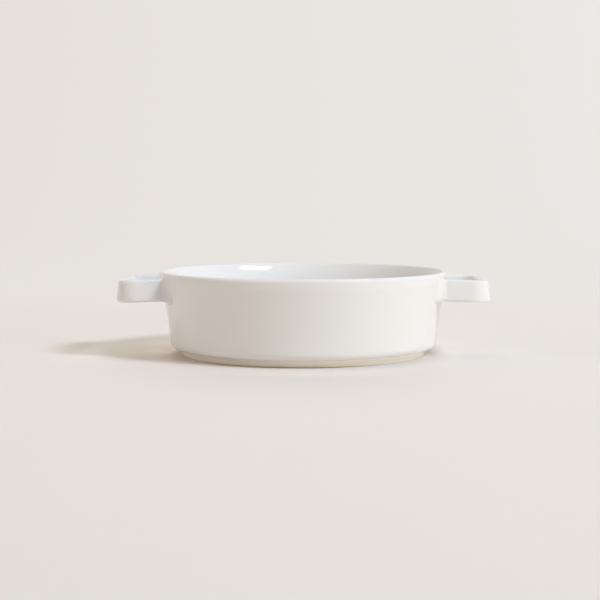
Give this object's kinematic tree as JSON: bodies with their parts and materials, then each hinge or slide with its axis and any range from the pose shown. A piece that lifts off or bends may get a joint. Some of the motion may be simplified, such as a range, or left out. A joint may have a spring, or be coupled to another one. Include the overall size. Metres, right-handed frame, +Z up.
{
  "type": "porcelain baking dish",
  "caption": "Round white glazed porcelain baking dish whose wall curves outwards to a short upright lip, with a low foot ring and a strap loop handle stuck on at each side.",
  "frame": {"origin": "centre of the foot ring, on the surface that the dish stands on", "axes": "+Z up, +X from the left handle to the right handle as seen from the front, +Y from the front to the back"},
  "size_m": [0.204, 0.16, 0.0465],
  "materials": {
    "glazed_porcelain": "clear glossy glaze over white porcelain, bare on the standing face of the foot",
    "glazed_slip": "wiped porcelain slip under the same clear glaze, which pools a little in the fillet"
  },
  "bodies": {
    "root": {"bowl": "glazed_porcelain", "left_handle": "glazed_porcelain", "right_handle": "glazed_porcelain", "left_front_slip_joint": "glazed_slip", "left_back_slip_joint": "glazed_slip", "right_front_slip_joint": "glazed_slip", "right_back_slip_joint": "glazed_slip"}
  },
  "joints": []
}
